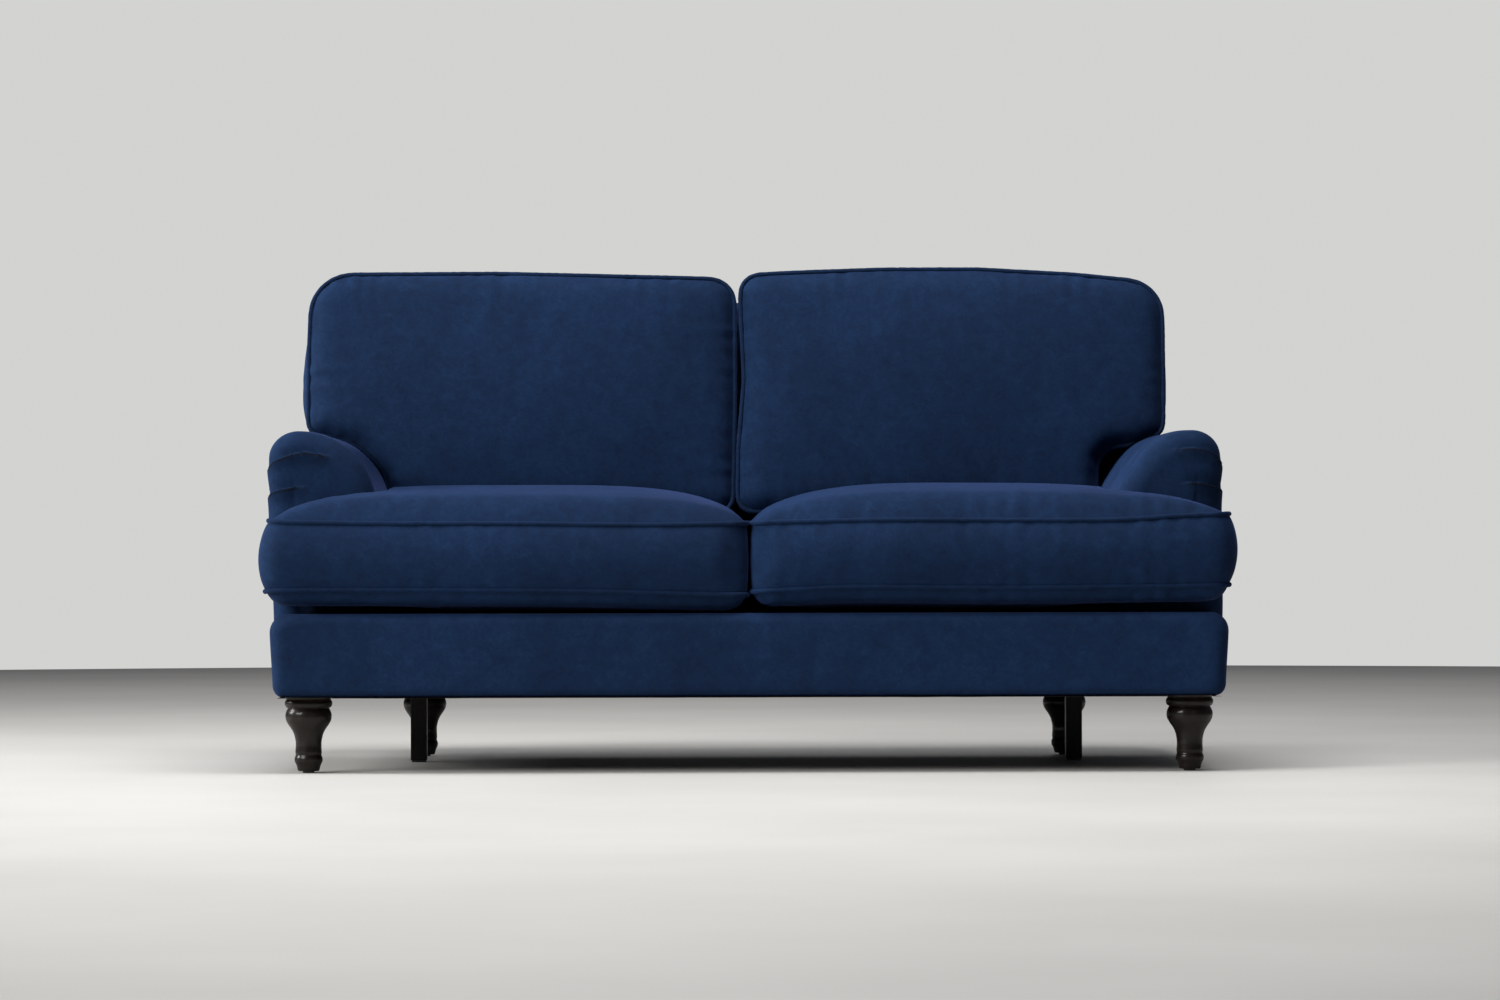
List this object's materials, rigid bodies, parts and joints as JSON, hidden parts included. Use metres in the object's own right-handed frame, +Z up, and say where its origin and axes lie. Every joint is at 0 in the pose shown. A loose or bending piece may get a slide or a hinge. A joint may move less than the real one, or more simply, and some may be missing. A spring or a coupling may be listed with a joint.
{
  "type": "sofa",
  "caption": "Compact sofa in blue velvet with rolled arms, T-shaped seat cushions, boxed back cushions, padded border and short turned wooden legs.",
  "frame": {"origin": "on the floor, under the middle of the bounding box", "axes": "+X to the right seen from the front, along the length; +Y to the back; +Z up"},
  "size_m": [1.724, 0.94, 0.9285],
  "materials": {
    "navy_velvet": "short-pile velvet, soft sheen",
    "deck_cloth": "plain woven cloth",
    "dust_cloth": "thin non-woven black cloth",
    "webbing": "woven jute",
    "frame_timber": "planed, unfinished",
    "leg_wood": "turned, very dark brown satin lacquer",
    "post_wood": "painted black",
    "steel": "plain steel",
    "glide_plastic": "moulded black"
  },
  "bodies": {
    "carcass": {"arm_front_pad_left": "navy_velvet", "arm_front_pad_right": "navy_velvet", "arm_front_post_left": "frame_timber", "arm_front_post_right": "frame_timber", "arm_top_board_left": "frame_timber", "arm_top_board_right": "frame_timber", "arm_upholstery_left": "navy_velvet", "arm_upholstery_right": "navy_velvet", "back_rail": "frame_timber", "back_top_rail": "frame_timber", "back_upholstery": "navy_velvet", "back_upright_center": "frame_timber", "back_upright_left": "frame_timber", "back_upright_right": "frame_timber", "back_web_lower": "webbing", "back_web_upper": "webbing", "center_joist": "frame_timber", "dust_cover": "dust_cloth", "front_border": "navy_velvet", "front_corner_block_left": "frame_timber", "front_corner_block_right": "frame_timber", "front_leg_glide_left": "glide_plastic", "front_leg_glide_right": "glide_plastic", "front_leg_left": "leg_wood", "front_leg_right": "leg_wood", "front_leg_stud_left": "steel", "front_leg_stud_right": "steel", "front_rail": "frame_timber", "inner_joist_left": "frame_timber", "inner_joist_right": "frame_timber", "outside_back_panel": "navy_velvet", "post_pad_left": "glide_plastic", "post_pad_right": "glide_plastic", "rear_leg_glide_left": "glide_plastic", "rear_leg_glide_right": "glide_plastic", "rear_leg_left": "leg_wood", "rear_leg_right": "leg_wood", "rear_leg_stud_left": "steel", "rear_leg_stud_right": "steel", "seat_deck": "deck_cloth", "seat_spring_1": "steel", "seat_spring_2": "steel", "seat_spring_3": "steel", "seat_spring_4": "steel", "seat_spring_5": "steel", "seat_spring_6": "steel", "side_rail_left": "frame_timber", "side_rail_right": "frame_timber", "support_post_left": "post_wood", "support_post_right": "post_wood"},
    "seat_cushion_left": {"seat_cushion_left": "navy_velvet"},
    "seat_cushion_right": {"seat_cushion_right": "navy_velvet"},
    "back_cushion_left": {"back_cushion_left": "navy_velvet"},
    "back_cushion_right": {"back_cushion_right": "navy_velvet"},
    "seat_zip_slider_left": {"seat_zip_slider_left": "steel"},
    "seat_zip_slider_right": {"seat_zip_slider_right": "steel"},
    "back_zip_slider_left": {"back_zip_slider_left": "steel"},
    "back_zip_slider_right": {"back_zip_slider_right": "steel"}
  },
  "joints": [
    {"name": "seat_cushion_left_pull", "type": "slide", "parent": "carcass", "child": "seat_cushion_left", "axis": [0, -1, 0], "range_m": [0, 0.78]},
    {"name": "back_cushion_left_lift", "type": "slide", "parent": "carcass", "child": "back_cushion_left", "axis": [0, 0, 1], "range_m": [0, 0.42]},
    {"name": "seat_zip_left", "type": "slide", "parent": "seat_cushion_left", "child": "seat_zip_slider_left", "axis": [-1, 0, 0], "range_m": [0, 0.5]},
    {"name": "back_zip_left", "type": "slide", "parent": "back_cushion_left", "child": "back_zip_slider_left", "axis": [-1, 0, 0], "range_m": [0, 0.5]},
    {"name": "seat_cushion_right_pull", "type": "slide", "parent": "carcass", "child": "seat_cushion_right", "axis": [0, -1, 0], "range_m": [0, 0.78]},
    {"name": "back_cushion_right_lift", "type": "slide", "parent": "carcass", "child": "back_cushion_right", "axis": [0, 0, 1], "range_m": [0, 0.42]},
    {"name": "seat_zip_right", "type": "slide", "parent": "seat_cushion_right", "child": "seat_zip_slider_right", "axis": [1, 0, 0], "range_m": [0, 0.5]},
    {"name": "back_zip_right", "type": "slide", "parent": "back_cushion_right", "child": "back_zip_slider_right", "axis": [1, 0, 0], "range_m": [0, 0.5]}
  ]
}
